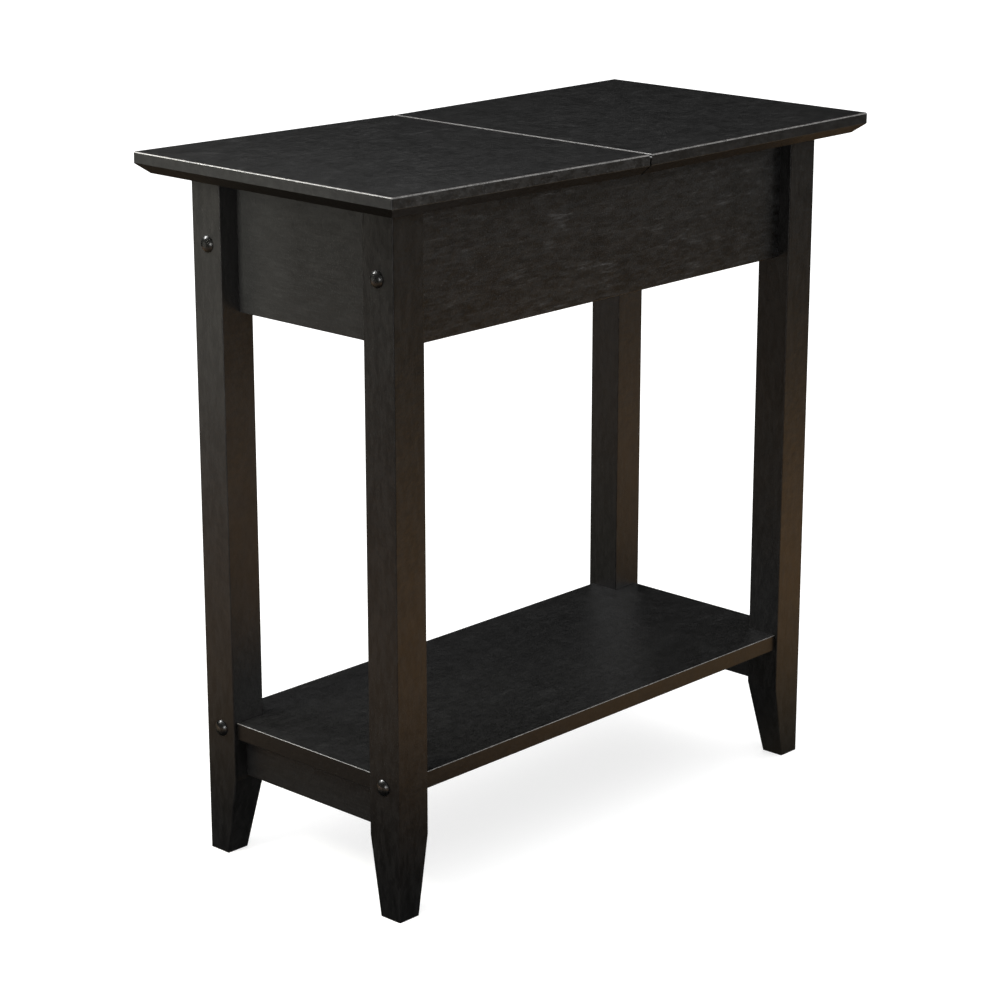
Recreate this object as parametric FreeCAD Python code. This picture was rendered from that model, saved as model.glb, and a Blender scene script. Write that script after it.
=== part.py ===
import FreeCAD
import Part
import math
import os

# Narrow end table with a flip-up lid. Millimetres, +Z up, origin on the floor under the middle of the top.
# +X runs along the table from the lid end to the fixed end, -Y is the front.
# Two end frames (legs, end panel, rail) are glued with dowels. The aprons and the shelf bolt between them.

V = FreeCAD.Vector

# ---- driving dimensions -------------------------------------------------------------------------
table_length = 600.0
table_width = 300.0
table_height = 610.0

top_thickness = 18.0
top_overhang = 33.0
edge_band = 9.5              # upright part of the top's edge
edge_bevel_width = 10.0      # bevel under the edge, measured inwards
top_arris = 1.5
band_arris = 0.8

leg_width = 34.0
leg_foot_width = 22.5        # after the taper on the two inner faces
leg_taper_height = 70.0
leg_arris = 1.0

apron_thickness = 12.0
apron_height = 110.0
apron_setback = 12.0         # behind the front and back faces of the legs
end_panel_thickness = 15.0   # inner face flush with the inner faces of the legs
board_arris = 0.8
top_seat_gap = 0.5           # aprons and end panels stop this far below the leg tops

floor_thickness = 4.0
floor_inset = 8.0            # underside of the floor above the bottom of the aprons
groove_depth = 5.0
groove_play = 0.2

divider_thickness = 12.0
divider_offset = 2.0         # lid side of the divider, from the middle of the seam

shelf_top_height = 123.0
shelf_thickness = 15.0
shelf_setback = 3.5
shelf_notch_play = 0.3
end_rail_height = 36.0
end_rail_thickness = 15.0
end_rail_inner_setback = 5.0 # outside the inner faces of the legs

hinge_barrel_diameter = 3.0
hinge_pin_diameter = 1.5
hinge_pin_play = 0.05
hinge_leaf_thickness = 0.7
hinge_leaf_height = 13.0
hinge_leaf_play = 0.1        # each closed leaf to the middle of the seam
hinge_end_inset = 8.0        # keeps the ends of the leaves inside the bevels under the edges
hinge_knuckles = 23
hinge_knuckle_gap = 0.3
hinge_screws_per_leaf = 5
seam_arris = 1.3
cove_play = 0.15             # groove in the seam edges around the hinge barrel

bumper_diameter = 10.0
bumper_height = 4.0
bumper_gap = 0.1
bumper_arris = 0.6

bolt_diameter = 6.0
bolt_hole_play = 0.2
bolt_head_diameter = 14.0
bolt_head_rim = 0.8
bolt_head_height = 3.4
bolt_head_flat = 5.6
bolt_dome_bulge = 0.5        # dome beyond the straight line from its rim to its flat
bolt_end_chamfer = 0.8
bolt_socket_across_flats = 4.0
bolt_socket_depth = 2.4
bolt_past_nut = 4.0
plug_play = 0.1              # between a plug's stem and each side of the bolt's socket
plug_end_space = 0.4         # the socket is this much deeper than the stem
plug_margin = 0.2            # flat of the bolt's head left bare round the plug's cap
plug_cap_edge = 0.25
plug_dome_rise = 0.35
apron_bolt_rise = 3.0        # bolt axis above the middle of the apron
nut_diameter = 10.0
nut_hole_play = 0.1
nut_thread_play = 0.05
nut_end_distance = 30.0      # nut axis from the end of the board
apron_nut_skin = 1.5         # wood left at each end of a nut
shelf_nut_skin = 2.5

dowel_diameter = 8.0
dowel_length = 25.0
small_dowel_diameter = 6.0
small_dowel_length = 20.0
dowel_play = 0.1
dowel_chamfer = 0.8
dowel_skin = 3.5             # wood left between a divider dowel's hole and the face of the apron
hole_end_space = 0.5         # blind holes are this much deeper than what they hold
end_panel_dowel_inset = 18.0 # dowel axes from the edges of the board
end_rail_dowel_inset = 9.0
divider_dowel_inset = 19.0

cleat_width = 15.0
cleat_height = 15.0
cleat_from_divider = 16.0
cleat_from_leg = 13.0
cleat_screw_diameter = 3.5
cleat_side_screw_inset = 30.0
cleat_top_screw_inset = 55.0
side_screw_skin = 3.0        # wood left ahead of the screw points
top_screw_skin = 5.0

hinge_screw_diameter = 2.6
hinge_screw_length = 14.0
screw_head_ratio = 1.9       # countersunk head over shank
screw_recess_ratio = 0.28    # width of a cross slot over shank
screw_point_ratio = 1.5      # length of the point over shank

small_length = 1e-4          # below this two coordinates are the same

# ---- derived levels and planes ------------------------------------------------------------------
half_length = table_length / 2
half_width = table_width / 2
leg_end_x = half_length - top_overhang
leg_front_y = half_width - top_overhang
leg_inner_x = leg_end_x - leg_width
leg_inner_y = leg_front_y - leg_width
leg_top_z = table_height - top_thickness

apron_outer_y = leg_front_y - apron_setback
apron_inner_y = apron_outer_y - apron_thickness
apron_middle_y = apron_outer_y - apron_thickness / 2
board_top_z = leg_top_z - top_seat_gap
board_bottom_z = leg_top_z - apron_height
end_panel_inner_x = leg_inner_x
end_panel_outer_x = end_panel_inner_x + end_panel_thickness
end_panel_middle_x = end_panel_inner_x + end_panel_thickness / 2

floor_bottom_z = board_bottom_z + floor_inset
floor_top_z = floor_bottom_z + floor_thickness

shelf_bottom_z = shelf_top_height - shelf_thickness
shelf_middle_z = shelf_top_height - shelf_thickness / 2
end_rail_bottom_z = shelf_bottom_z - end_rail_height
end_rail_inner_x = leg_inner_x + end_rail_inner_setback
end_rail_outer_x = end_rail_inner_x + end_rail_thickness
end_rail_middle_x = end_rail_inner_x + end_rail_thickness / 2

barrel_radius = hinge_barrel_diameter / 2
hinge_axis_z = table_height - barrel_radius
seam_face_x = hinge_leaf_thickness + hinge_leaf_play
hinge_length = table_width - 2 * hinge_end_inset
cove_radius = barrel_radius + cove_play
pin_hole_radius = hinge_pin_diameter / 2 + hinge_pin_play
hinge_screw_z = hinge_axis_z - (barrel_radius + hinge_leaf_height) / 2

leg_middle_x = leg_end_x - leg_width / 2
leg_middle_y = leg_front_y - leg_width / 2
bumper_inner_x = leg_middle_x - bumper_diameter / 2
lid_rest_tilt = math.degrees(math.atan((bumper_height + bumper_gap) / bumper_inner_x))

bolt_y = apron_middle_y
apron_bolt_z = leg_top_z - apron_height / 2 + apron_bolt_rise
apron_dowel_z = (apron_bolt_z + board_bottom_z) / 2
nut_x = leg_inner_x - nut_end_distance
bolt_length = leg_width + nut_end_distance + nut_diameter / 2 + bolt_past_nut
bolt_hole_length = bolt_length + hole_end_space
bolt_hole_radius = bolt_diameter / 2 + bolt_hole_play
nut_hole_radius = nut_diameter / 2 + nut_hole_play
apron_nut_length = apron_thickness - 2 * apron_nut_skin
shelf_nut_length = shelf_thickness - 2 * shelf_nut_skin
small_dowel_in_apron = apron_thickness - dowel_skin - hole_end_space

divider_near_x = divider_offset
divider_middle_x = divider_near_x + divider_thickness / 2
cleat_start_x = divider_near_x + divider_thickness + cleat_from_divider
cleat_end_x = leg_inner_x - cleat_from_leg
cleat_screw_z = leg_top_z - cleat_height / 2
cleat_screw_y = apron_inner_y - cleat_width / 2
cleat_side_screw_length = cleat_width + apron_thickness - side_screw_skin
cleat_top_screw_length = cleat_height + top_thickness - top_screw_skin

TO_PLUS_X = V(1, 0, 0)
TO_PLUS_Y = V(0, 1, 0)
TO_MINUS_Y = V(0, -1, 0)
UP = V(0, 0, 1)


# ---- small helpers ------------------------------------------------------------------------------
def block(x0, x1, y0, y1, z0, z1):
    return Part.makeBox(x1 - x0, y1 - y0, z1 - z0, V(x0, y0, z0))


def rod(radius, start, direction, length):
    return Part.makeCylinder(radius, length, start, direction)


def prism(points, direction):
    face = Part.Face(Part.makePolygon(points + points[:1]))
    return face.extrude(direction)


def hexagonal_bar(across_flats, z, length):
    """Hexagonal bar round the Z axis, from a height upwards."""
    corner = V(across_flats / math.sqrt(3), 0, z)
    return prism([FreeCAD.Rotation(UP, 60 * i).multVec(corner) for i in range(6)], V(0, 0, length))


def aimed(shape, start, direction):
    """Place a shape drawn along +Z from the origin at a start point, turned to run along a direction."""
    shape.Placement = FreeCAD.Placement(start, FreeCAD.Rotation(UP, direction))
    return shape


def turned(points):
    """Solid of revolution about +Z from (radius, height) points."""
    face = Part.Face(Part.makePolygon([V(r, 0, z) for r, z in points + points[:1]]))
    return face.revolve(V(0, 0, 0), UP, 360)


def mirror_x(shape):
    return shape.mirror(V(0, 0, 0), TO_PLUS_X)


def mirror_y(shape):
    return shape.mirror(V(0, 0, 0), TO_PLUS_Y)


def both_sides(shape):
    """A piece at the front and its twin at the back."""
    return [shape, mirror_y(shape)]


def all_corners(shape):
    """A piece at the front left corner and its three twins."""
    left = both_sides(shape)
    return left + [mirror_x(twin) for twin in left]


def edges_where(shape, test):
    return [edge for edge in shape.Edges if test(edge.BoundBox)]


def eased(shape, radius, test):
    return shape.makeFillet(radius, edges_where(shape, test))


def at(low, high, value):
    """True when an edge lies wholly in the plane of one coordinate."""
    return abs(low - value) < small_length and abs(high - value) < small_length


def on_outline(b, half_x, half_y):
    """True when an edge lies in one of four upright planes around the origin."""
    on_end = at(b.XMin, b.XMax, -half_x) or at(b.XMin, b.XMax, half_x)
    return on_end or at(b.YMin, b.YMax, -half_y) or at(b.YMin, b.YMax, half_y)


def cross_recess(width, reach, depth):
    slots = [block(-reach, reach, -width / 2, width / 2, 0, depth),
             block(-width / 2, width / 2, -reach, reach, 0, depth)]
    return slots[0].fuse(slots[1])


def screw_body(diameter, length):
    """Outside of a countersunk screw, head face at the origin, point towards +Z. It also cuts the hole."""
    r = diameter / 2
    head = r * screw_head_ratio
    point = diameter * screw_point_ratio
    return turned([(0, 0), (head, 0), (r, head - r), (r, length - point), (0, length)])


def countersunk_screw(diameter, length):
    r = diameter / 2
    return screw_body(diameter, length).cut(cross_recess(diameter * screw_recess_ratio, r, r))


def dowel(diameter, length):
    r = diameter / 2
    c = dowel_chamfer
    return turned([(0, 0), (r - c, 0), (r, c), (r, length - c), (r - c, length), (0, length)])


def dowel_hole(diameter, start, direction, depth):
    return rod(diameter / 2 + dowel_play, start, direction, depth + hole_end_space)


# ---- dowel places, all for the front left corner ------------------------------------------------
def end_panel_dowel_points():
    heights = [board_bottom_z + end_panel_dowel_inset, board_top_z - end_panel_dowel_inset]
    return [V(-end_panel_middle_x, -leg_inner_y, z) for z in heights]


def end_rail_dowel_points():
    heights = [end_rail_bottom_z + end_rail_dowel_inset, shelf_bottom_z - end_rail_dowel_inset]
    return [V(-end_rail_middle_x, -leg_inner_y, z) for z in heights]


def apron_dowel_point():
    return V(-leg_inner_x, -apron_middle_y, apron_dowel_z)


def divider_dowel_points():
    heights = [floor_top_z + divider_dowel_inset, board_top_z - divider_dowel_inset]
    return [V(divider_middle_x, -apron_inner_y, z) for z in heights]


# ---- legs ---------------------------------------------------------------------------------------
def leg_outline(width, z):
    """Square with eased corners; its outer corner is the outer corner of the front left leg."""
    half = width / 2
    middle = V(-leg_end_x + half, -leg_front_y + half, z)
    inset = leg_arris * (1 - math.sqrt(0.5))
    edges = []
    for quarter in range(4):
        turn = FreeCAD.Rotation(UP, 90 * quarter)
        side_start, side_end, arc_middle, arc_end = [
            middle + turn.multVec(V(x, y, 0))
            for x, y in [(leg_arris - half, -half), (half - leg_arris, -half),
                         (half - inset, inset - half), (half, leg_arris - half)]]
        edges.append(Part.LineSegment(side_start, side_end).toShape())
        edges.append(Part.Arc(side_end, arc_middle, arc_end).toShape())
    return Part.Wire(edges)


def leg_blank():
    sole = leg_outline(leg_foot_width, 0)
    ankle = leg_outline(leg_width, leg_taper_height)
    foot = Part.makeLoft([sole, ankle], True, True)
    post = Part.Face(ankle).extrude(V(0, 0, leg_top_z - leg_taper_height))
    return foot.fuse(post)


def front_left_leg():
    leg = leg_blank()
    for z in (apron_bolt_z, shelf_middle_z):
        leg = leg.cut(rod(bolt_hole_radius, V(-leg_end_x, -bolt_y, z), TO_PLUS_X, leg_width))
    for point in end_panel_dowel_points() + end_rail_dowel_points():
        leg = leg.cut(dowel_hole(dowel_diameter, point, TO_MINUS_Y, dowel_length / 2))
    into_leg = TO_PLUS_X * -1
    return leg.cut(dowel_hole(small_dowel_diameter, apron_dowel_point(), into_leg, small_dowel_length / 2))


# ---- aprons, end panels, divider, floor ---------------------------------------------------------
def with_eased_bottom(board):
    """Ease the two long lower edges of an upright board."""
    low = board.BoundBox.ZMin
    length = max(board.BoundBox.XLength, board.BoundBox.YLength)
    return eased(board, board_arris,
                 lambda b: at(b.ZMin, b.ZMax, low) and max(b.XLength, b.YLength) > length / 2)


def floor_groove(x0, x1, y0, y1):
    return block(x0, x1, y0, y1, floor_bottom_z - groove_play, floor_top_z + groove_play)


def front_apron():
    apron = block(-leg_inner_x, leg_inner_x, -apron_outer_y, -apron_inner_y, board_bottom_z, board_top_z)
    apron = with_eased_bottom(apron)
    apron = apron.cut(floor_groove(-leg_inner_x, leg_inner_x, -apron_inner_y - groove_depth, -apron_inner_y))
    bolt_hole = rod(bolt_hole_radius, V(-leg_end_x, -bolt_y, apron_bolt_z), TO_PLUS_X, bolt_hole_length)
    nut_hole = rod(nut_hole_radius, V(-nut_x, -apron_inner_y, apron_bolt_z), TO_MINUS_Y,
                   apron_thickness - apron_nut_skin)
    end_dowel = dowel_hole(small_dowel_diameter, apron_dowel_point(), TO_PLUS_X, small_dowel_length / 2)
    for tool in (bolt_hole, nut_hole, end_dowel):
        apron = apron.cut(tool).cut(mirror_x(tool))
    for point in divider_dowel_points():
        apron = apron.cut(dowel_hole(small_dowel_diameter, point, TO_MINUS_Y, small_dowel_in_apron))
    for screw_hole in cleat_side_screws(screw_body):
        apron = apron.cut(screw_hole)
    return apron


def left_end_panel():
    panel = block(-end_panel_outer_x, -end_panel_inner_x, -leg_inner_y, leg_inner_y,
                  board_bottom_z, board_top_z)
    panel = with_eased_bottom(panel)
    panel = panel.cut(floor_groove(-end_panel_inner_x - groove_depth, -end_panel_inner_x,
                                   -leg_inner_y, leg_inner_y))
    for point in end_panel_dowel_points():
        hole = dowel_hole(dowel_diameter, point, TO_PLUS_Y, dowel_length / 2)
        panel = panel.cut(hole).cut(mirror_y(hole))
    return panel


def compartment_divider():
    divider = block(divider_near_x, divider_near_x + divider_thickness, -apron_inner_y, apron_inner_y,
                    floor_top_z, board_top_z)
    for point in divider_dowel_points():
        hole = dowel_hole(small_dowel_diameter, point, TO_PLUS_Y, small_dowel_length - small_dowel_in_apron)
        divider = divider.cut(hole).cut(mirror_y(hole))
    return divider


def compartment_floor():
    tongue = groove_depth - hole_end_space
    wide = block(-leg_inner_x + groove_play, leg_inner_x - groove_play, -apron_inner_y - tongue,
                 apron_inner_y + tongue, floor_bottom_z, floor_top_z)
    long = block(-end_panel_inner_x - tongue, end_panel_inner_x + tongue, -leg_inner_y + groove_play,
                 leg_inner_y - groove_play, floor_bottom_z, floor_top_z)
    return wide.fuse(long).removeSplitter()


# ---- shelf and end rails ------------------------------------------------------------------------
def shelf():
    outer_x = leg_end_x - shelf_setback
    outer_y = leg_front_y - shelf_setback
    board = block(-outer_x, outer_x, -outer_y, outer_y, shelf_bottom_z, shelf_top_height)
    notch = block(-half_length, -leg_inner_x, -half_width, -leg_inner_y + shelf_notch_play,
                  shelf_bottom_z, shelf_top_height)
    for tool in all_corners(notch):
        board = board.cut(tool)
    board = eased(board, board_arris,
                  lambda b: b.ZLength < small_length and on_outline(b, outer_x, outer_y))
    bolt_hole = rod(bolt_hole_radius, V(-leg_end_x, -bolt_y, shelf_middle_z), TO_PLUS_X, bolt_hole_length)
    nut_hole = rod(nut_hole_radius, V(-nut_x, -bolt_y, shelf_bottom_z), UP,
                   shelf_thickness - shelf_nut_skin)
    for tool in all_corners(bolt_hole) + all_corners(nut_hole):
        board = board.cut(tool)
    return board


def left_end_rail():
    rail = block(-end_rail_outer_x, -end_rail_inner_x, -leg_inner_y, leg_inner_y,
                 end_rail_bottom_z, shelf_bottom_z)
    rail = with_eased_bottom(rail)
    for point in end_rail_dowel_points():
        hole = dowel_hole(dowel_diameter, point, TO_PLUS_Y, dowel_length / 2)
        rail = rail.cut(hole).cut(mirror_y(hole))
    return rail


# ---- top boards ---------------------------------------------------------------------------------
def half_top():
    """The fixed half: its outer edges are bevelled below, its seam edge is coved for the hinge."""
    z0 = leg_top_z
    z1 = table_height
    band_z = table_height - edge_band
    top = block(seam_face_x, half_length, -half_width, half_width, z0, z1)
    end_bevel = prism([V(half_length, -half_width, band_z), V(half_length, -half_width, z0),
                       V(half_length - edge_bevel_width, -half_width, z0)], V(0, table_width, 0))
    front_bevel = prism([V(0, -half_width, band_z), V(0, -half_width, z0),
                         V(0, -half_width + edge_bevel_width, z0)], V(half_length, 0, 0))
    for bevel in [end_bevel] + both_sides(front_bevel):
        top = top.cut(bevel)
    top = eased(top, top_arris, lambda b: outer_edge(b) and b.ZMax > band_z + small_length)
    top = eased(top, band_arris, lambda b: outer_edge(b) and at(b.ZMin, b.ZMax, band_z))
    seam_cut = prism([V(seam_face_x, -half_width, z1), V(seam_face_x + seam_arris, -half_width, z1),
                      V(seam_face_x, -half_width, z1 - seam_arris)], V(0, table_width, 0))
    cove = rod(cove_radius, V(0, -half_width, hinge_axis_z), TO_PLUS_Y, table_width)
    return top.cut(seam_cut).cut(cove)


def outer_edge(b):
    """Edges on the three outer sides of the half top, and the upright ones at its two outer corners."""
    on_end = at(b.XMin, b.XMax, half_length)
    on_side = at(b.YMin, b.YMax, -half_width) or at(b.YMin, b.YMax, half_width)
    if b.ZLength > small_length:
        return on_end and on_side
    return on_end or on_side


def screwed_half_top():
    top = half_top()
    for hole in hinge_screws(screw_body) + cleat_top_screws(screw_body):
        top = top.cut(hole)
    return top


def flat_lid():
    lid = mirror_x(half_top())
    for hole in hinge_screws(screw_body):
        lid = lid.cut(mirror_x(hole))
    return lid


def tilted(shape):
    """Lid pieces are drawn flat and turned about the hinge until they lie on the bumpers."""
    shape.rotate(V(0, 0, hinge_axis_z), TO_PLUS_Y, lid_rest_tilt)
    return shape


# ---- hinge --------------------------------------------------------------------------------------
def knuckle_spans(parity):
    pitch = hinge_length / hinge_knuckles
    return [(-hinge_length / 2 + i * pitch, pitch) for i in range(hinge_knuckles) if i % 2 == parity]


def hinge_leaf(parity):
    """Leaf on the fixed side of the seam, with every second knuckle of the barrel."""
    x0 = hinge_leaf_play
    x1 = seam_face_x
    plate_top = hinge_axis_z - cove_radius
    tab_top = hinge_axis_z - (barrel_radius + pin_hole_radius) / 2
    leaf = block(x0, x1, -hinge_length / 2, hinge_length / 2, hinge_axis_z - hinge_leaf_height, plate_top)
    for y, pitch in knuckle_spans(parity):
        length = pitch - hinge_knuckle_gap
        start = V(0, y + hinge_knuckle_gap / 2, hinge_axis_z)
        tube = rod(barrel_radius, start, TO_PLUS_Y, length)
        tube = tube.cut(rod(pin_hole_radius, start, TO_PLUS_Y, length))
        tab = block(x0, x1, start.y, start.y + length, plate_top, tab_top)
        leaf = leaf.fuse(tab).fuse(tube)
    for hole in hinge_screws(screw_body):
        leaf = leaf.cut(hole)
    return leaf.removeSplitter()


def hinge_pin():
    return rod(hinge_pin_diameter / 2, V(0, -hinge_length / 2, hinge_axis_z), TO_PLUS_Y, hinge_length)


def hinge_screws(make):
    pitch = hinge_length / hinge_screws_per_leaf
    places = [-hinge_length / 2 + (i + 0.5) * pitch for i in range(hinge_screws_per_leaf)]
    return [aimed(make(hinge_screw_diameter, hinge_screw_length),
                  V(hinge_leaf_play, y, hinge_screw_z), TO_PLUS_X) for y in places]


# ---- cleats that hold the fixed half down -------------------------------------------------------
def cleat_side_screws(make):
    places = [cleat_start_x + cleat_side_screw_inset, cleat_end_x - cleat_side_screw_inset]
    return [aimed(make(cleat_screw_diameter, cleat_side_screw_length),
                  V(x, -apron_inner_y + cleat_width, cleat_screw_z), TO_MINUS_Y) for x in places]


def cleat_top_screws(make):
    places = [cleat_start_x + cleat_top_screw_inset, cleat_end_x - cleat_top_screw_inset]
    front = [aimed(make(cleat_screw_diameter, cleat_top_screw_length),
                   V(x, -cleat_screw_y, leg_top_z - cleat_height), UP) for x in places]
    return front + [mirror_y(screw) for screw in front]


def front_top_cleat():
    cleat = block(cleat_start_x, cleat_end_x, -apron_inner_y, -apron_inner_y + cleat_width,
                  leg_top_z - cleat_height, leg_top_z)
    for hole in cleat_side_screws(screw_body) + cleat_top_screws(screw_body):
        cleat = cleat.cut(hole)
    return cleat


# ---- bolts, plugs, nuts, dowels, bumpers --------------------------------------------------------
def socket_bolt():
    """Furniture bolt with a domed socket head, head seat at the origin, shank to +Z."""
    shank_radius = bolt_diameter / 2
    rim = V(bolt_head_diameter / 2, 0, -bolt_head_rim)
    crown = V(bolt_head_flat / 2, 0, -bolt_head_height)
    slope = crown - rim
    outwards = V(-slope.z, 0, slope.x).normalize()
    dome = Part.Arc(rim, (rim + crown) / 2 + outwards * bolt_dome_bulge, crown).toShape()
    corners = [crown, V(0, 0, -bolt_head_height), V(0, 0, bolt_length),
               V(shank_radius - bolt_end_chamfer, 0, bolt_length),
               V(shank_radius, 0, bolt_length - bolt_end_chamfer), V(shank_radius, 0, 0),
               V(rim.x, 0, 0), rim]
    outline = Part.Wire([dome] + Part.makePolygon(corners).Edges)
    bolt = Part.Face(outline).revolve(V(0, 0, 0), UP, 360)
    return bolt.cut(hexagonal_bar(bolt_socket_across_flats, -bolt_head_height, bolt_socket_depth))


def socket_plug():
    """Push-in cover of a bolt's socket, placed as the bolt is: a low domed cap on a hexagonal stem."""
    seat = V(0, 0, -bolt_head_height)
    rim = seat + V(bolt_head_flat / 2 - plug_margin, 0, -plug_cap_edge)
    crown = V(0, 0, rim.z - plug_dome_rise)
    dome_radius = (rim.x ** 2 + plug_dome_rise ** 2) / (2 * plug_dome_rise)
    halfway = V(rim.x / 2, 0, crown.z + dome_radius - math.sqrt(dome_radius ** 2 - (rim.x / 2) ** 2))
    dome = Part.Arc(rim, halfway, crown).toShape()
    outline = Part.Wire([dome] + Part.makePolygon([crown, seat, V(rim.x, 0, seat.z), rim]).Edges)
    cap = Part.Face(outline).revolve(V(0, 0, 0), UP, 360)
    stem_length = plug_cap_edge + bolt_socket_depth - plug_end_space
    return cap.fuse(hexagonal_bar(bolt_socket_across_flats - 2 * plug_play, rim.z, stem_length))


def on_leg_ends(fitting, z):
    """Four copies of a fitting at a height, with its seat on the end face of each leg."""
    return all_corners(aimed(fitting, V(-leg_end_x, -bolt_y, z), TO_PLUS_X))


def barrel_nut(middle, direction, length):
    start = middle - direction * (length / 2)
    nut = rod(nut_diameter / 2, start, direction, length)
    thread = rod(bolt_diameter / 2 + nut_thread_play, middle - TO_PLUS_X * nut_diameter, TO_PLUS_X,
                 2 * nut_diameter)
    return nut.cut(thread)


def corner_dowels(points):
    first = [aimed(dowel(dowel_diameter, dowel_length), point - TO_PLUS_Y * (dowel_length / 2), TO_PLUS_Y)
             for point in points]
    return [twin for shape in first for twin in all_corners(shape)]


def apron_dowels():
    start = apron_dowel_point() - TO_PLUS_X * (small_dowel_length / 2)
    return all_corners(aimed(dowel(small_dowel_diameter, small_dowel_length), start, TO_PLUS_X))


def divider_dowels():
    first = [aimed(dowel(small_dowel_diameter, small_dowel_length),
                   point - TO_PLUS_Y * small_dowel_in_apron, TO_PLUS_Y) for point in divider_dowel_points()]
    return [twin for shape in first for twin in both_sides(shape)]


def lid_bumpers():
    r = bumper_diameter / 2
    pad = turned([(0, 0), (r, 0), (r, bumper_height - bumper_arris), (r - bumper_arris, bumper_height),
                  (0, bumper_height)])
    return both_sides(aimed(pad, V(-leg_middle_x, -leg_middle_y, leg_top_z), UP))


# ---- the whole table ----------------------------------------------------------------------------
def table_nodes():
    leg = front_left_leg()
    apron = front_apron()
    end_panel = left_end_panel()
    end_rail = left_end_rail()
    cleat = front_top_cleat()
    lid_screws = [tilted(mirror_x(screw)) for screw in hinge_screws(countersunk_screw)]
    side_screws = [twin for screw in cleat_side_screws(countersunk_screw) for twin in both_sides(screw)]
    apron_nut = barrel_nut(V(-nut_x, -bolt_y, apron_bolt_z), TO_PLUS_Y, apron_nut_length)
    shelf_nut = barrel_nut(V(-nut_x, -bolt_y, shelf_middle_z), UP, shelf_nut_length)
    return {
        "leg_front_left": [leg],
        "leg_back_left": [mirror_y(leg)],
        "leg_front_right": [mirror_x(leg)],
        "leg_back_right": [mirror_x(mirror_y(leg))],
        "front_apron": [apron],
        "back_apron": [mirror_y(apron)],
        "left_end_panel": [end_panel],
        "right_end_panel": [mirror_x(end_panel)],
        "compartment_divider": [compartment_divider()],
        "compartment_floor": [compartment_floor()],
        "shelf": [shelf()],
        "left_end_rail": [end_rail],
        "right_end_rail": [mirror_x(end_rail)],
        "fixed_top": [screwed_half_top()],
        "lid_panel": [tilted(flat_lid())],
        "hinge_leaf_top": [hinge_leaf(0)],
        "hinge_leaf_lid": [tilted(mirror_x(hinge_leaf(1)))],
        "hinge_pin": [hinge_pin()],
        "hinge_screws_top": hinge_screws(countersunk_screw),
        "hinge_screws_lid": lid_screws,
        "top_cleat_front": [cleat],
        "top_cleat_back": [mirror_y(cleat)],
        "cleat_side_screws": side_screws,
        "cleat_top_screws": cleat_top_screws(countersunk_screw),
        "apron_bolts": on_leg_ends(socket_bolt(), apron_bolt_z),
        "shelf_bolts": on_leg_ends(socket_bolt(), shelf_middle_z),
        "bolt_plugs": on_leg_ends(socket_plug(), apron_bolt_z) + on_leg_ends(socket_plug(), shelf_middle_z),
        "apron_barrel_nuts": all_corners(apron_nut),
        "shelf_barrel_nuts": all_corners(shelf_nut),
        "end_panel_dowels": corner_dowels(end_panel_dowel_points()),
        "end_rail_dowels": corner_dowels(end_rail_dowel_points()),
        "apron_dowels": apron_dowels(),
        "divider_dowels": divider_dowels(),
        "lid_bumpers": lid_bumpers(),
    }


def main():
    os.makedirs("parts", exist_ok=True)
    for name, solids in table_nodes().items():
        shape = solids[0] if len(solids) == 1 else Part.makeCompound(solids)
        shape.exportStep(f"parts/{name}.step")
        print(name, len(shape.Solids), round(shape.Volume, 1), shape.isValid())


main()
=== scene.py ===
"""Looks of the narrow flip-top end table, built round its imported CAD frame. Everything is in metres."""
import math

import bpy
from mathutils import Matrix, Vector

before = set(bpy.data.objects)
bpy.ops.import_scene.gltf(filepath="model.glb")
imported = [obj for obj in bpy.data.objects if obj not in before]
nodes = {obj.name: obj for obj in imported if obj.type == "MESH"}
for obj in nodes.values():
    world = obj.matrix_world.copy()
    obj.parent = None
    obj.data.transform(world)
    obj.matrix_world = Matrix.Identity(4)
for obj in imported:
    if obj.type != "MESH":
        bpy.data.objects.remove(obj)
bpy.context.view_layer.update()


# ---------------------------------------------------------------- node trees

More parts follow.
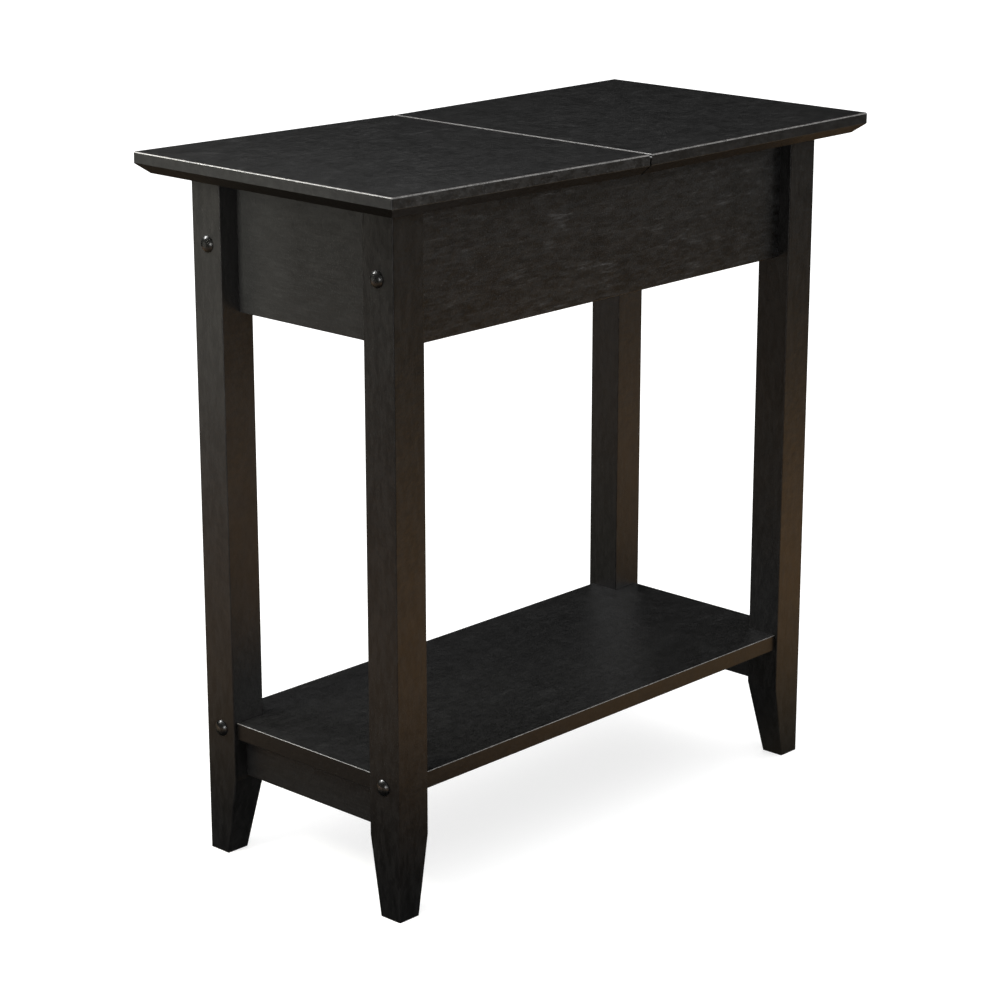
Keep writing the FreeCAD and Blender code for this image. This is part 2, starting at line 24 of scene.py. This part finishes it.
class Shader:
    """One material's node tree, with short calls for the nodes that the finishes below use."""

    def __init__(self, name):
        self.material = bpy.data.materials.new(name)
        self.material.use_nodes = True
        self.tree = self.material.node_tree
        self.surface = self.tree.nodes["Principled BSDF"]
        coordinates = self.node("ShaderNodeTexCoord").outputs
        self.place, self.normal = coordinates["Object"], coordinates["Normal"]

    def feed(self, socket, value):
        """Links the socket to another node's output, or else gives it the constant value."""
        if isinstance(value, bpy.types.NodeSocket):
            self.tree.links.new(value, socket)
        else:
            socket.default_value = value

    def node(self, kind, values=None, **settings):
        """A new node with these settings. values feeds its inputs, by name or number."""
        made = self.tree.nodes.new(kind)
        for key, value in settings.items():
            setattr(made, key, value)
        for key, value in (values or {}).items():
            self.feed(made.inputs[key], value)
        return made

    def set(self, **values):
        """Feeds the sockets of the surface shader, with _ for a blank in a socket's name."""
        for key, value in values.items():
            self.feed(self.surface.inputs[key.replace("_", " ")], value)

    def math(self, operation, a, b=0.0, c=0.0):
        return self.node("ShaderNodeMath", {0: a, 1: b, 2: c}, operation=operation).outputs[0]

    def vector_math(self, operation, a, b=(0, 0, 0), result="Vector"):
        return self.node("ShaderNodeVectorMath", {0: a, 1: b}, operation=operation).outputs[result]

    def components(self, vector):
        return self.node("ShaderNodeSeparateXYZ", {0: vector}).outputs

    def stretched(self, scale=(1, 1, 1), shift=(0, 0, 0)):
        """The position on the part, in metres, stretched by a scale for each axis and shifted."""
        made = self.node("ShaderNodeMapping", {"Vector": self.place, "Location": shift, "Scale": scale})
        return made.outputs[0]

    def noise(self, where, scale, detail=4.0, roughness=0.55, distortion=0.0):
        """Cloudy noise from 0 to 1, with about scale clouds to the metre."""
        made = self.node("ShaderNodeTexNoise", {"Vector": where, "Scale": scale, "Detail": detail,
                                                "Roughness": roughness, "Distortion": distortion})
        return made.outputs["Fac"]

    def cells(self, where, scale):
        """The distance from the walls between irregular cells, with about scale cells to the metre."""
        made = self.node("ShaderNodeTexVoronoi", {"Vector": where, "Scale": scale},
                         feature="DISTANCE_TO_EDGE")
        return made.outputs["Distance"]

    def between(self, value, low, high, to_low=0.0, to_high=1.0):
        """value's run from low to high, as a smooth step from to_low to to_high."""
        made = self.node("ShaderNodeMapRange", {"Value": value, "From Min": low, "From Max": high,
                                                "To Min": to_low, "To Max": to_high},
                         interpolation_type="SMOOTHSTEP")
        return made.outputs[0]

    def ramp(self, value, reach, stops):
        """A colour for each value from 0 to reach: stops are pairs of a value and its colour."""
        made = self.node("ShaderNodeValToRGB", {0: self.math("DIVIDE", value, reach)})
        while len(made.color_ramp.elements) < len(stops):
            made.color_ramp.elements.new(0.5)
        for element, (position, colour) in zip(made.color_ramp.elements, stops):
            element.position = position / reach
            element.color = tuple(colour) + (1,)
        return made.outputs[0]

    def blend(self, share, a, b):
        """Colour a where share is 0 and b where it is 1."""
        factor, first, second, mixed = 0, 6, 7, 2
        made = self.node("ShaderNodeMix", {factor: share, first: a, second: b}, data_type="RGBA")
        return made.outputs[mixed]

    def bump(self, height, depth, strength=1.0):
        """Sets the surface's normal from a height from 0 to 1, which stands for depth metres."""
        made = self.node("ShaderNodeBump", {"Height": height, "Distance": depth, "Strength": strength})
        self.set(Normal=made.outputs["Normal"])

    def normal_on_part(self):
        """The surface's direction in the part's own axes: its three components and their sizes."""
        parts = self.components(self.normal)
        return parts, [self.math("ABSOLUTE", part) for part in parts]


def grey(value, warmth=0.0):
    """A linear colour of that brightness, browner by warmth, or cooler where that is negative."""
    return (value * (1 + warmth), value, value * (1 - warmth), 1)


def darker(colour, share):
    return tuple(share * value for value in colour[:3]) + (1,)


# ---------------------------------------------------------------- finishes

# Linear brightness of what shows in the lacquered wood, besides each board's own stain, with a painted
# highlight on rubbed edges and painted shade on upright edges.
full_mottle_spread = 0.0056
light_wood = 0.043
dark_pore = 0.0026
worn_wood_and_painted_highlight = 0.22
painted_edge_shade = 0.001


def streaks_and_flecks(s, wavy, thin, body, flecked):
    """The wood's light streaks, in its blotches and clouds, its flecks, and how much all of it shows."""
    blotches = s.between(s.noise(wavy, 60, detail=5, roughness=0.68, distortion=0.6), 0.48, 0.73)
    streaks = s.between(s.noise(thin, 380, detail=4, roughness=0.72, distortion=0.3), 0.5, 0.7)
    flecks = s.between(s.noise(body, 620, detail=3, roughness=0.75), 0.58, 0.74)
    clouds = s.between(s.noise(body, 13, detail=3), 0.35, 0.68)
    drawing = s.math("ADD", s.math("MULTIPLY", streaks, s.math("MULTIPLY_ADD", blotches, 0.75, 0.10)),
                     s.math("MULTIPLY", blotches, 0.12))
    drawing = s.math("ADD", s.math("MULTIPLY", drawing, s.math("MULTIPLY_ADD", clouds, 0.8, 0.4)),
                     s.math("MULTIPLY", flecks, flecked))
    return streaks, flecks, drawing


def worn_and_highlit_edges(s, body, parts, sizes):
    """Where the film is rubbed thin, with a painted highlight, in patches: on the roundings that don't face
    down.
    """
    largest = s.math("MAXIMUM", s.math("MAXIMUM", sizes[0], sizes[1]), sizes[2])
    rounding = s.math("MULTIPLY", s.between(largest, 0.98, 0.88), s.between(parts[2], 0.10, 0.35))
    patches = s.between(s.noise(body, 210, detail=5, roughness=0.75), 0.36, 0.60, 0.35, 1.0)
    return s.math("MULTIPLY", rounding, patches)


def hair_scratches(s, body, shift):
    """Fine scratches here and there."""
    lines = s.between(s.cells(s.stretched((1.0, 0.35, 1.0), shift), 34), 0.012, 0.004)
    return s.math("MULTIPLY", lines, s.between(s.noise(body, 22, detail=2), 0.56, 0.66))


def moulding(s, parts, sizes, colour, rough, gloss):
    """The top's sloping underside: duller, with painted shade on the end slopes and a painted brown highlight
    on the long lower edges.
    """
    underside = s.between(parts[2], -0.12, -0.22)
    painted_highlight_band = s.math("MULTIPLY", underside, s.between(parts[2], -0.70, -0.55))
    painted_shade_end_slopes = s.between(sizes[0], 0.3, 0.5, 0.0, 0.9)
    long_edge = s.between(sizes[1], 0.2, 0.5, 0.0, 0.8)
    # Painted shade on the end slopes.
    colour = s.blend(s.math("MULTIPLY", underside, painted_shade_end_slopes), colour, grey(0.0008))
    # Painted highlight, brown, on the long lower edges.
    colour = s.blend(s.math("MULTIPLY", painted_highlight_band, long_edge), colour, (0.031, 0.027, 0.021, 1))
    rough = s.math("MULTIPLY_ADD", underside, 0.2, rough)
    gloss = s.math("MULTIPLY_ADD", underside, -0.4, gloss)
    return colour, rough, gloss


def lacquered_wood(name, grain, shift, shade, mottle, figure, drawn=0.3, flecked=0.42, warmth=0.0,
                   edge_wear_and_highlight=0.1, tone_and_painted_light_drift=None, moulded=False, painted_shade_on_edges=0.0):
    """Satin black lacquer over stained wood: mottle, streaks and flecks of the wood show through the film,
    pores and dust dent it, hair scratches cross it, and the upper edges are rubbed thin, with a painted
    highlight on them.

    shade is the stain's brightness together with painted light and shade, warmth its brown, mottle how uneven
    it is, figure how much of the streaks and flecks shows, drawn how short they are along the grain, and
    flecked how light the flecks are.
    edge_wear_and_highlight is how far the upper edges are rubbed through and lightened by a painted
    highlight.
    tone_and_painted_light_drift is an axis, a dark and a light end on it, and how much lighter painted light
    makes the colour there. moulded marks the boards of the top, with their sloping underside and its painted
    shade and highlight, and painted_shade_on_edges is how much painted shade darkens a flat board's upright
    edges."""
    s = Shader(name)
    axis = "xyz".index(grain)
    wavy, thin, straight = (s.stretched([ratio if k == axis else 1 for k in range(3)], shift)
                            for ratio in (drawn, 0.4 * drawn, 0.03))
    body = s.stretched(shift=shift)
    parts, sizes = s.normal_on_part()
    end_grain = s.between(sizes[axis], 0.4, 0.8)

    spread = full_mottle_spread * mottle
    speckle = s.between(s.noise(wavy, 190, detail=4, roughness=0.74, distortion=0.2), 0.41, 0.59)
    colour = s.blend(speckle, grey(shade - spread, warmth), grey(shade + spread, warmth))
    streaks, flecks, drawing = streaks_and_flecks(s, wavy, thin, body, flecked)
    shown = s.math("MULTIPLY", drawing, s.math("MULTIPLY_ADD", end_grain, -0.8 * figure, figure))
    colour = s.blend(s.math("MINIMUM", shown, 1.0), colour, grey(light_wood, warmth * 0.5))
    pores = s.noise(straight, 1500, detail=2, roughness=0.5)
    colour = s.blend(s.between(pores, 0.36, 0.60, 0.4, 0.0), colour, grey(dark_pore, warmth))
    plain = s.math("MULTIPLY", s.math("MAXIMUM", s.between(parts[2], -0.4, -0.7), end_grain), 0.7)
    colour = s.blend(plain, colour, grey(shade, warmth))
    # Painted light and shade: the colour grows lighter from the dark end to the light end of the axis, as the
    # board is lit.
    if tone_and_painted_light_drift:
        painted_light_axis, dark_end, light_end, gain = tone_and_painted_light_drift
        along = s.components(s.place)["xyz".index(painted_light_axis)]
        colour = s.vector_math("ADD", colour, s.between(along, dark_end, light_end, 0.0, gain))
    # Painted shade on the upright edges of flat boards.
    if painted_shade_on_edges:
        colour = s.blend(s.between(sizes[2], 0.6, 0.3, 0.0, painted_shade_on_edges), colour, grey(painted_edge_shade))
    # The rubbed upper edges, lightened also by a painted highlight.
    worn_and_highlit = worn_and_highlit_edges(s, body, parts, sizes)
    colour = s.blend(s.math("MULTIPLY", worn_and_highlit, edge_wear_and_highlight), colour, grey(worn_wood_and_painted_highlight, 0.04))

    hairs = hair_scratches(s, body, shift)
    rough = s.between(s.noise(body, 55, detail=4, roughness=0.6), 0.3, 0.7, 0.375, 0.425)
    for mark, gain in ((streaks, 0.05), (flecks, 0.05), (hairs, 0.05), (worn_and_highlit, -0.08)):
        rough = s.math("MULTIPLY_ADD", mark, gain, rough)
    gloss = 0.5
    if moulded:
        colour, rough, gloss = moulding(s, parts, sizes, colour, rough, gloss)

    dust = s.noise(body, 900, detail=3)
    relief = s.noise(body, 150, detail=2, roughness=0.45)
    for mark, gain in ((pores, 0.065), (dust, 0.065), (hairs, -0.02)):
        relief = s.math("MULTIPLY_ADD", mark, gain, relief)
    s.bump(relief, 0.0003)
    s.set(Base_Color=colour, Roughness=rough, Specular_IOR_Level=gloss, IOR=1.5)
    return s.material


def bare_wood(name, grain, light, dark, ring_scale):
    """Unfinished wood: growth rings drawn out along the grain, pores and a rough cut surface."""
    s = Shader(name)
    along = s.stretched([0.05 if letter == grain else 1 for letter in "xyz"])
    wave = s.node("ShaderNodeTexWave", {"Vector": along, "Scale": ring_scale, "Distortion": 5.0,
                                        "Detail": 3.0, "Detail Scale": 1.6}, bands_direction="DIAGONAL")
    rings = wave.outputs["Fac"]
    pores = s.noise(along, 1300, detail=3, roughness=0.6)
    tint = s.noise(s.stretched(), 40, detail=3)
    colour = s.blend(s.between(rings, 0.15, 0.95, 0.0, 0.8), light, dark)
    colour = s.blend(s.between(pores, 0.55, 0.75, 0.0, 0.5), colour, dark)
    colour = s.blend(s.between(tint, 0.4, 0.75, 0.0, 0.35), colour, darker(light, 0.8))
    s.bump(s.math("ADD", s.math("MULTIPLY", rings, 0.4), s.math("MULTIPLY", pores, 0.6)), 0.00015, 0.5)
    s.set(Base_Color=colour, Roughness=s.between(pores, 0.3, 0.7, 0.62, 0.8), Specular_IOR_Level=0.3)
    return s.material


def metal(name, colour, worn_colour, rough_low, rough_high, brushed=(1, 1, 1), metallic=1.0, painted_shade_below=0.0):
    """Metal with fine tool marks, a patchy sheen and lighter edges where wear rubs it. painted_shade_below
    darkens its underside with painted shade.
    """
    s = Shader(name)
    marks = s.noise(s.stretched(brushed), 2600, detail=4, roughness=0.65)
    patches = s.noise(s.stretched(), 220, detail=4, roughness=0.6)
    edge = s.between(s.node("ShaderNodeNewGeometry").outputs["Pointiness"], 0.52, 0.60)
    upward = s.components(s.normal)[2]
    shade = s.blend(s.between(patches, 0.35, 0.7, 0.0, 0.5), colour, darker(colour, 0.72))
    shade = s.blend(s.math("MULTIPLY", edge, s.between(marks, 0.35, 0.6, 0.2, 0.9)), shade, worn_colour)
    # Painted shade on the underside.
    shade = s.blend(s.between(upward, 0.2, -0.5, 0.0, painted_shade_below), shade, grey(0.02))
    rough = s.math("MULTIPLY_ADD", s.between(marks, 0.5, 0.75), 0.08,
                   s.between(patches, 0.3, 0.7, rough_low, rough_high))
    s.bump(marks, 0.00002, 0.5)
    s.set(Base_Color=shade, Metallic=metallic, Roughness=rough)
    return s.material


def rubber(name):
    """Moulded black rubber with a fine matt grain and a dusty bloom."""
    s = Shader(name)
    grain = s.noise(s.stretched(), 3200, detail=3, roughness=0.7)
    bloom = s.between(s.noise(s.stretched(), 320, detail=4), 0.45, 0.75)
    s.set(Base_Color=s.blend(bloom, grey(0.028), grey(0.055)),
          Roughness=s.between(grain, 0.3, 0.7, 0.68, 0.86))
    s.bump(grain, 0.00005, 0.6)
    return s.material


def floor_board(name):
    """Hardboard with a matt black face: pressed fibres in every direction under a thin coat."""
    s = Shader(name)
    where = s.stretched()
    fibres = s.between(s.cells(where, 420), 0.0, 0.25)
    flecks = s.noise(where, 700, detail=5, roughness=0.75, distortion=1.5)
    patches = s.noise(where, 25, detail=3)
    colour = s.blend(s.between(flecks, 0.5, 0.72), grey(0.016, 0.04), grey(0.034, 0.05))
    colour = s.blend(s.between(patches, 0.4, 0.7, 0.0, 0.4), colour, grey(0.012, 0.04))
    s.bump(s.math("ADD", s.math("MULTIPLY", fibres, 0.4), s.math("MULTIPLY", flecks, 0.6)), 0.0001, 0.5)
    s.set(Base_Color=colour, Roughness=s.between(flecks, 0.3, 0.7, 0.52, 0.7), Specular_IOR_Level=0.35)
    return s.material


# What boards of a kind share. The words are those of lacquered_wood.
# Painted light: the aprons grow lighter towards their top.
apron = dict(grain="x", shade=0.0045, mottle=0.5, figure=1.2, warmth=-0.05, tone_and_painted_light_drift=("z", 0.50, 0.56, 0.0012))
leg = dict(grain="z", mottle=0.26, figure=0.15, warmth=0.05)
panel = dict(grain="y", mottle=0.17, figure=0.15)
top = dict(grain="x", shade=0.0059, drawn=0.6, flecked=0.6, edge_wear_and_highlight=0.6, moulded=True)
# Painted light: the end panels grow lighter towards the back.
painted_light_to_the_back = ("y", 0.0, 0.08, 0.0045)
# Besides the stain, each board's shade paints how brightly it is lit, so the shades differ from board to
# board as painted light and shade. The left legs are painted darker towards their feet, and the lid lighter
# towards its outer end.
boards = {
    "leg_front_left": dict(leg, shade=0.0030, tone_and_painted_light_drift=("z", 0.02, 0.16, 0.0009)),
    "leg_back_left": dict(leg, shade=0.0042, tone_and_painted_light_drift=("z", 0.05, 0.52, 0.0047)),
    "leg_front_right": dict(leg, shade=0.0040),
    "leg_back_right": dict(leg, shade=0.0069),
    "front_apron": apron,
    "back_apron": apron,
    "left_end_panel": dict(panel, shade=0.0072, tone_and_painted_light_drift=painted_light_to_the_back),
    "right_end_panel": dict(panel, shade=0.0069, tone_and_painted_light_drift=painted_light_to_the_back),
    "compartment_divider": dict(grain="y", shade=0.0059, mottle=0.5, figure=1.2),
    "shelf": dict(grain="x", shade=0.0104, mottle=0.45, figure=0.7, drawn=0.6, edge_wear_and_highlight=0.6,
                  painted_shade_on_edges=0.8),
    "left_end_rail": dict(panel, shade=0.0075),
    "right_end_rail": dict(panel, shade=0.0075),
    "fixed_top": dict(top, mottle=0.75, figure=1.35, painted_shade_on_edges=0.5),
    "lid_panel": dict(top, mottle=0.9, figure=1.7, tone_and_painted_light_drift=("x", -0.08, -0.29, 0.0040)),
}
# Each board has its own stretch of the pattern, so many metres from that of the board before it.
shift_of_pattern = (0.37, 0.53, 0.71)
for number, (name, looks) in enumerate(boards.items()):
    shift = [number * step for step in shift_of_pattern]
    nodes[name].data.materials[0] = lacquered_wood("black_lacquer_" + name, shift=shift, **looks)

softwood = bare_wood("bare_softwood_looks", "x", light=(0.60, 0.42, 0.24, 1), dark=(0.40, 0.23, 0.10, 1),
                     ring_scale=55)
beech = {grain: bare_wood("beech_looks_" + grain, grain, light=(0.62, 0.42, 0.25, 1),
                          dark=(0.46, 0.28, 0.15, 1), ring_scale=90) for grain in "xy"}
gunmetal = metal("gunmetal_looks", colour=(0.080, 0.080, 0.078, 1), worn_colour=(0.13, 0.13, 0.13, 1),
                 rough_low=0.24, rough_high=0.32, metallic=0.95, painted_shade_below=0.85)
zinc = metal("zinc_looks", colour=(0.60, 0.61, 0.62, 1), worn_colour=(0.8, 0.8, 0.8, 1),
             rough_low=0.24, rough_high=0.38)
hinge_black = metal("hinge_black_looks", colour=(0.030, 0.030, 0.031, 1), worn_colour=(0.22, 0.21, 0.20, 1),
                    rough_low=0.30, rough_high=0.42, brushed=(1, 0.1, 1), metallic=0.3)

finishes = {
    "compartment_floor": floor_board("floor_board_looks"),
    "top_cleat_front": softwood, "top_cleat_back": softwood,
    "end_panel_dowels": beech["y"], "end_rail_dowels": beech["y"], "apron_dowels": beech["x"],
    "divider_dowels": beech["y"],
    "hinge_leaf_top": hinge_black, "hinge_leaf_lid": hinge_black, "hinge_pin": hinge_black,
    "hinge_screws_top": hinge_black, "hinge_screws_lid": hinge_black,
    "apron_bolts": gunmetal, "shelf_bolts": gunmetal, "bolt_plugs": gunmetal,
    "cleat_side_screws": zinc, "cleat_top_screws": zinc, "apron_barrel_nuts": zinc, "shelf_barrel_nuts": zinc,
    "lid_bumpers": rubber("rubber_looks"),
}
for name, material in finishes.items():
    nodes[name].data.materials[0] = material


# ---------------------------------------------------------------- studio

circle_points = 64


def circle(radius, z):
    """Evenly spaced points round the origin."""
    angles = [math.tau * k / circle_points for k in range(circle_points)]
    return [(radius * math.cos(angle), radius * math.sin(angle), z) for angle in angles]


def band(inner, outer):
    """The faces between two circles, whose points start at these numbers."""
    pairs = [(k, (k + 1) % circle_points) for k in range(circle_points)]
    return [(inner + k, outer + k, outer + after, inner + after) for k, after in pairs]


def surface_object(name, points, faces, material):
    """A new object in the scene, with that mesh and material."""
    mesh = bpy.data.meshes.new(name)
    mesh.from_pydata(points, [], faces)
    mesh.materials.append(material)
    made = bpy.data.objects.new(name, mesh)
    bpy.context.scene.collection.objects.link(made)
    return made


def studio_floor():
    """A wide pale floor, lit a little from below as a light table is, with finer faces near the table."""
    radii = [0.6, 1.5, 4.0, 12.0, 40.0]
    middle = (0.0, 0.0, 0.0)
    points = [middle] + [point for radius in radii for point in circle(radius, 0.0)]
    faces = [(0, 1 + k, 1 + (k + 1) % circle_points) for k in range(circle_points)]
    for ring in range(len(radii) - 1):
        faces += band(1 + ring * circle_points, 1 + (ring + 1) * circle_points)
    s = Shader("pale_floor")
    tone_and_painted_light_drift = s.noise(s.place, 1.5, detail=2)
    s.set(Base_Color=s.blend(tone_and_painted_light_drift, grey(0.54), grey(0.56)), Roughness=0.9, Specular_IOR_Level=0.1,
          Emission_Color=grey(1), Emission_Strength=0.6)
    floor = surface_object("studio_floor", points, faces, s.material)
    floor.visible_glossy = False


def floor_glow(s):
    """The floor as the polish sees it: dark in the table's shadow, brown round that, neutral and dim further
    out, with less brown on the left than in front."""
    shadow_middle, shadow_half_size = (0.25, 0.30, 0.0), (0.35, 0.20, 0.0)
    near_leg, dark_radius, lit_radius = (-0.25, -0.10, 0.0), 0.15, 0.62
    dark = (0.02, 0.02, 0.02)
    faint = (0.005, 0.005, 0.005)
    reach = 4.0
    # The distance from the shadow, and the glow there.
    front = [(0.15, dark), (0.30, (0.20, 0.15, 0.085)), (0.48, (0.72, 0.42, 0.185)),
             (0.68, (0.95, 0.55, 0.26)), (0.95, (0.54, 0.335, 0.16)), (1.35, (0.070, 0.078, 0.042)),
             (1.80, faint), (reach, faint)]
    left = [(0.18, (0.055, 0.065, 0.05)), (0.30, (0.19, 0.135, 0.075)), (0.45, (0.46, 0.30, 0.165)),
            (0.65, (0.52, 0.35, 0.24)), (0.95, (0.26, 0.185, 0.14)), (1.40, faint), (reach, faint)]

    from_middle = s.vector_math("SUBTRACT", s.place, shadow_middle)
    outside = s.vector_math("SUBTRACT", s.vector_math("ABSOLUTE", from_middle), shadow_half_size)
    away = s.vector_math("LENGTH", s.vector_math("MAXIMUM", outside), result="Value")
    x, y = s.components(from_middle)[:2]
    leftward = s.math("DIVIDE", s.math("SUBTRACT", y, x),
                      s.math("ADD", s.math("ABSOLUTE", x), s.math("ABSOLUTE", y)))
    glow = s.blend(s.between(leftward, -0.6, 0.6), s.ramp(away, reach, front), s.ramp(away, reach, left))
    from_leg = s.vector_math("DISTANCE", s.place, near_leg, result="Value")
    return s.blend(s.between(from_leg, dark_radius, lit_radius), dark + (1,), glow)


def floor_reflector():
    """A glowing card under the floor that only the polish sees: it isn't in the picture itself."""
    inner, outer, below_floor, strength = 0.05, 4.0, -0.002, 1.2
    s = Shader("floor_reflector_glow")
    s.tree.nodes.remove(s.surface)
    glow = s.node("ShaderNodeEmission", {"Color": floor_glow(s), "Strength": strength})
    s.tree.links.new(glow.outputs[0], s.tree.nodes["Material Output"].inputs["Surface"])
    card = surface_object("floor_reflector", circle(inner, below_floor) + circle(outer, below_floor),
                          band(0, circle_points), s.material)
    card.visible_camera = card.visible_diffuse = card.visible_shadow = False
    card.visible_transmission = card.visible_volume_scatter = False


def studio_world(strength):
    """Plain white all round, for the camera and for soft light, but not for the polish to reflect."""
    world = bpy.data.worlds.new("studio")
    bpy.context.scene.world = world
    world.use_nodes = True
    world.node_tree.nodes["Background"].inputs["Color"].default_value = grey(1)
    world.node_tree.nodes["Background"].inputs["Strength"].default_value = strength
    world.cycles_visibility.glossy = False


def softbox(name, place, aim, size, radiance, colour=(1, 1, 1), lights=False, shines=True):
    """A rectangular area light of that radiance, in the units of the picture's white. lights says whether it
    lights the matt colours, and shines whether the polish reflects it."""
    light = bpy.data.lights.new(name, "AREA")
    light.shape = "RECTANGLE"
    light.size, light.size_y = size
    light.energy = radiance * light.size * light.size_y * math.pi
    light.color = colour
    lamp = bpy.data.objects.new(name, light)
    lamp.location = place
    lamp.rotation_mode = "QUATERNION"
    lamp.rotation_quaternion = (Vector(place) - Vector(aim)).to_track_quat("Z", "Y")
    lamp.visible_camera, lamp.visible_diffuse, lamp.visible_glossy = False, lights, shines
    bpy.context.scene.collection.objects.link(lamp)


def studio_camera(place, heading, pitch, focal_pixels, frame_pixels=1000):
    """A level camera without shift. heading turns it from +Y to +X and pitch turns it down, in radians."""
    camera = bpy.data.cameras.new("camera")
    camera.sensor_width = 36.0
    camera.lens = focal_pixels * camera.sensor_width / frame_pixels
    camera.clip_start, camera.clip_end = 0.05, 100.0
    ahead = Vector((math.sin(heading) * math.cos(pitch), math.cos(heading) * math.cos(pitch),
                    -math.sin(pitch)))
    eye = bpy.data.objects.new("camera", camera)
    eye.location = place
    eye.rotation_mode = "QUATERNION"
    eye.rotation_quaternion = ahead.to_track_quat("-Z", "Y")
    bpy.context.scene.collection.objects.link(eye)
    return eye


studio_floor()
floor_reflector()
studio_world(strength=1.5)
softbox("overhead_softbox", place=(0.0, 0.2, 2.6), aim=(0, 0, 0.5), size=(2.2, 2.2), radiance=2.95)
softbox("left_soft_light", place=(-0.62, 0.13, 0.63), aim=(-0.267, 0.04, 0.5), size=(0.14, 0.30),
        radiance=28.0, colour=(1, 0.98, 0.86), lights=True, shines=False)
softbox("left_low_softbox", place=(-0.62, 0.46, 0.40), aim=(-0.267, 0.14, 0.5), size=(0.30, 0.30),
        radiance=0.35, colour=(1, 0.97, 0.85), lights=True)
softbox("back_left_softbox", place=(-1.1, 1.98, 2.0), aim=(-0.2, 0, 0.6), size=(0.6, 0.6), radiance=41.0)
softbox("back_high_softbox", place=(-0.9, 1.3, 2.6), aim=(-0.2, 0, 0.6), size=(0.8, 0.8), radiance=14.0)
softbox("front_left_softbox", place=(-2.37, -1.11, 0.54), aim=(-0.27, -0.1, 0.54), size=(0.45, 0.45),
        radiance=14.0)
softbox("front_right_softbox", place=(3.2, -2.8, 1.95), aim=(0, 0, 0.5), size=(1.9, 2.0), radiance=4.75,
        colour=(1, 0.99, 0.97))

# The photograph's angle: its upright lines are straightened, which a camera without shift follows closely.
bpy.context.scene.camera = studio_camera((-1.8019, -1.6664, 1.0170), heading=0.8185, pitch=0.2907,
                                         focal_pixels=2882.7)
bpy.context.scene.view_settings.view_transform = "Standard"
